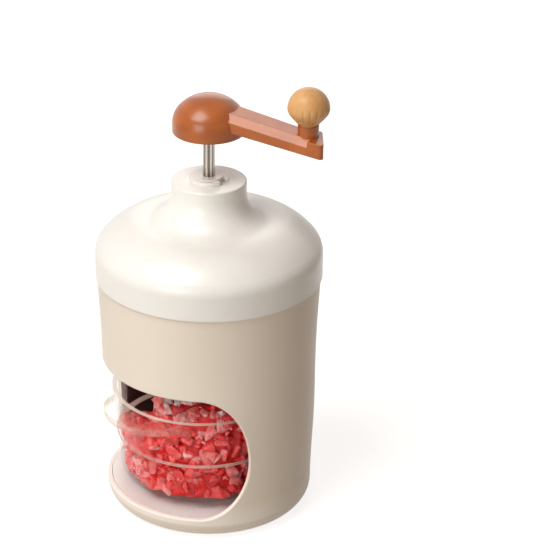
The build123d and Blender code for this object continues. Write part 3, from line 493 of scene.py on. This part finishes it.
def shaved_ice():
    """Red shaved ice: a core with some fifteen hundred broken grains heaped over it."""
    middle = bowl_middle()
    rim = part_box("ice_bowl")[1].z
    draw = random.Random(11)
    right = Vector((math.cos(VIEW_BEARING), math.sin(VIEW_BEARING), 0))
    front = Vector((math.sin(VIEW_BEARING), -math.cos(VIEW_BEARING), 0))

    def wall(height):
        """The bowl's inside radius at a height above the table."""
        if height < BOWL_STEP:
            return (48.5 + 1.2 * (height - BOWL_FLOOR) / (25 * MM)) * MM
        return (51.0 + 1.3 * (height - BOWL_STEP) / (30 * MM)) * MM

    def top(point):
        """The heap's height: it falls away backward at one side, then steps up above the rim."""
        side = point.dot(right) / MM
        off = point - middle
        off.z = 0
        falling = 77 - (44 - point.dot(front) / MM) * 0.5
        shore = 79.5 + (52 - off.length / MM) * 1.1
        step = ease(side, -31, -27.5)
        return (max(falling, 34) * (1 - step) + min(88.5, shore) * step) * MM

    def held(point):
        """A point moved back inside the bowl and under the blades."""
        point.z = min(max(point.z, BOWL_FLOOR), HEAP_TOP)
        side = point - middle
        side.z = 0
        most = wall(min(point.z, rim)) - 0.25 * MM
        if side.length > most:
            back = side.normalized() * most
            point.x, point.y = middle.x + back.x, middle.y + back.y
        return point

    def core(made):
        rings, spokes = 40, 96
        rows = []
        for ring in range(rings + 1):
            share = ring / rings
            row = []
            for spoke in range(spokes):
                turn = 2 * math.pi * spoke / spokes
                way = Vector((math.cos(turn), math.sin(turn), 0))
                if share < 0.5:
                    edge = middle + way * (wall(70 * MM) - 3.5 * MM)
                    height = BOWL_FLOOR + (top(edge) - 3 * MM - BOWL_FLOOR) * share / 0.5
                    point = middle + way * (wall(height) - 3.2 * MM)
                    point.z = height
                else:
                    reach = (wall(70 * MM) - 3.2 * MM) * math.cos((share - 0.5) * math.pi)
                    point = middle + way * max(reach, 0.3 * MM)
                    point.z = top(point) - 3 * MM
                wander = way * 1.5 * MM * noise.noise(point / (7 * MM))
                row.append(made.verts.new(held(point + wander)))
            rows.append(row)
        revolve_rows(made, rows)

    def grain(made, place, size, flat, tint):
        """One broken grain, the hull of a few points flung round a place."""
        angle = draw.uniform(0, 2 * math.pi)
        turn = Matrix.Rotation(angle, 3, Vector([draw.gauss(0, 1) for _ in range(3)]))
        points = []
        for _ in range(draw.choice((9, 11, 13, 16))):
            ray = Vector([draw.gauss(0, 1) for _ in range(3)]).normalized()
            ray.z *= flat
            ray.x *= draw.uniform(0.7, 1.25)
            points.append(made.verts.new(held(place + turn @ ray * size)))
        layer = made.verts.layers.float_color["tint"]
        hull = bmesh.ops.convex_hull(made, input=points)
        unused = hull["geom_interior"] + hull["geom_unused"]
        loose = {item for item in unused if isinstance(item, bmesh.types.BMVert)}
        for vert in points:
            if vert.is_valid:
                vert[layer] = (tint, tint, tint, 1)
        bmesh.ops.delete(made, geom=list(loose), context="VERTS")

    def tone(point):
        """How pale a grain is: a random tone, made palest on the heap's far side by painted light and
        deepest low down and to the right by painted shade.
        """
        side = point.dot(right) / MM
        high_up = ease(point.z / MM, 74, 84)
        # Painted light and shade: paler high up on the left, deeper to the right. The noise and the gauss
        # are the ice's own random tone.
        pale = 0.5 + 0.42 * high_up * (1 - ease(side, -24, 8)) - 0.12 * ease(side, 0, 40)
        pale += 0.3 * noise.noise(point / (11 * MM))
        return min(max(draw.gauss(pale, 0.09), 0.0), 1.0)

    def heap(made):
        layer = made.verts.layers.float_color.new("tint")
        core(made)
        for vert in made.verts:
            vert[layer] = (0.16, 0.16, 0.16, 1)
        kinds = (
            (280, 6.0, 10.5, 0.75),
            (560, 2.8, 5.4, 0.7),
            (520, 1.0, 2.2, 0.6),
        )
        for count, small, large, flat in kinds:
            for _ in range(count):
                size = draw.uniform(small, large) * MM
                turn = draw.uniform(0, 2 * math.pi)
                way = Vector((math.cos(turn), math.sin(turn), 0))
                if draw.random() < 0.62:
                    edge = middle + way * wall(60 * MM)
                    height = draw.uniform(BOWL_FLOOR + 1 * MM, top(edge) - size * 0.6)
                    place = middle + way * (wall(height) - size * draw.uniform(0.45, 0.95))
                    place.z = height
                else:
                    place = middle + way * (wall(70 * MM) * math.sqrt(draw.random()) - size * 0.5)
                    place.z = top(place) - size * draw.uniform(0.6, 1.2)
                grain(made, place, size, flat, tone(place))
        for _ in range(190):
            size = draw.uniform(3.0, 6.5) * MM
            along = right * draw.uniform(21, 24.5) * MM
            place = middle - along + front * draw.uniform(-38, 40) * MM
            lowest = top(place - right * 4 * MM)
            place.z = draw.uniform(lowest, 86 * MM)
            grain(made, place, size, 0.75, tone(place))

    piece = add_mesh("shaved_ice", heap, ice_material(), "bowl")
    piece.data.shade_flat()


def seen_directly(tree):
    """1 for rays that the camera sees by, shines and clear plastic included, and 0 for light on the part."""
    path = tree.nodes.new("ShaderNodeLightPath")
    total = path.outputs["Is Camera Ray"]
    for ray in ("Is Glossy Ray", "Is Transmission Ray"):
        add = tree.nodes.new("ShaderNodeMath")
        add.operation = "ADD"
        add.use_clamp = True
        tree.links.new(total, add.inputs[0])
        tree.links.new(path.outputs[ray], add.inputs[1])
        total = add.outputs[0]
    return total


def plain_stage():
    """Floor and surroundings: white to the camera, soft and neutral to the part."""
    mesh = bpy.data.meshes.new("floor")
    made = bmesh.new()
    bmesh.ops.create_grid(made, x_segments=1, y_segments=1, size=6.0)
    made.to_mesh(mesh)
    made.free()
    floor = bpy.data.objects.new("floor", mesh)
    bpy.context.scene.collection.objects.link(floor)
    made = Nodes("floor_white").set(Roughness=0.9, Specular_IOR_Level=0.1)
    made.shader.inputs["Base Color"].default_value = (0.5, 0.48, 0.45, 1)
    made.shader.inputs["Emission Color"].default_value = (1, 1, 1, 1)
    lift = made.math("MULTIPLY", seen_directly(made.tree), 0.82)
    made.link(lift, made.shader.inputs["Emission Strength"])
    mesh.materials.append(made.material)
    world = bpy.data.worlds.new("studio")
    bpy.context.scene.world = world
    world.use_nodes = True
    tree = world.node_tree
    tree.nodes.clear()
    out = tree.nodes.new("ShaderNodeOutputWorld")
    sky = tree.nodes.new("ShaderNodeBackground")
    white = tree.nodes.new("ShaderNodeBackground")
    mix = tree.nodes.new("ShaderNodeMixShader")
    sky.inputs["Color"].default_value = (1.0, 0.72, 0.5, 1)
    sky.inputs["Strength"].default_value = 0.17
    white.inputs["Color"].default_value = (1, 1, 1, 1)
    white.inputs["Strength"].default_value = 1.0
    tree.links.new(seen_directly(tree), mix.inputs[0])
    tree.links.new(sky.outputs[0], mix.inputs[1])
    tree.links.new(white.outputs[0], mix.inputs[2])
    tree.links.new(mix.outputs[0], out.inputs["Surface"])


def toward(bearing, height):
    """The direction from the shaver to a bearing and a height."""
    flat = math.cos(height)
    return Vector((math.sin(bearing) * flat, -math.cos(bearing) * flat, math.sin(height)))


def lamp(name, bearing, height, distance, size, power, colour):
    """A soft square lamp that faces the shaver from a bearing and a height."""
    light = bpy.data.lights.new(name, "AREA")
    light.size = size
    light.energy = power
    light.color = colour
    obj = bpy.data.objects.new(name, light)
    bpy.context.scene.collection.objects.link(obj)
    away = toward(math.radians(bearing), math.radians(height))
    obj.location = VIEW_TARGET + away * distance
    obj.rotation_euler = away.to_track_quat("Z", "Y").to_euler()


def lights():
    view = math.degrees(VIEW_BEARING)
    lamp("key", view - 52, 60, 1.4, 0.8, 14, (1.0, 1.0, 0.99))
    lamp("front_fill", view - 32, 14, 1.8, 0.9, 11, (1.0, 1.0, 0.99))
    lamp("back_fill", view + 178, 24, 1.8, 1.0, 3.5, (1.0, 0.97, 0.93))


def camera():
    data = bpy.data.cameras.new("photo_camera")
    data.sensor_width = SENSOR
    data.lens = SENSOR * FOCAL_PIXELS / FRAME_PIXELS
    data.shift_x = (FRAME_PIXELS / 2 - TARGET_PIXEL[0]) / FRAME_PIXELS
    data.shift_y = (TARGET_PIXEL[1] - FRAME_PIXELS / 2) / FRAME_PIXELS
    data.clip_start = 0.05
    data.clip_end = 50
    obj = bpy.data.objects.new("photo_camera", data)
    bpy.context.scene.collection.objects.link(obj)
    back = toward(VIEW_BEARING, VIEW_HEIGHT)
    obj.location = VIEW_TARGET + back * VIEW_DISTANCE
    obj.rotation_mode = "QUATERNION"
    obj.rotation_quaternion = (-back).to_track_quat("-Z", "Y")
    bpy.context.scene.camera = obj


camera()
lights()
plain_stage()
finish_nodes()
grooved_knob()
shaved_ice()

bpy.context.scene.view_settings.view_transform = "Standard"
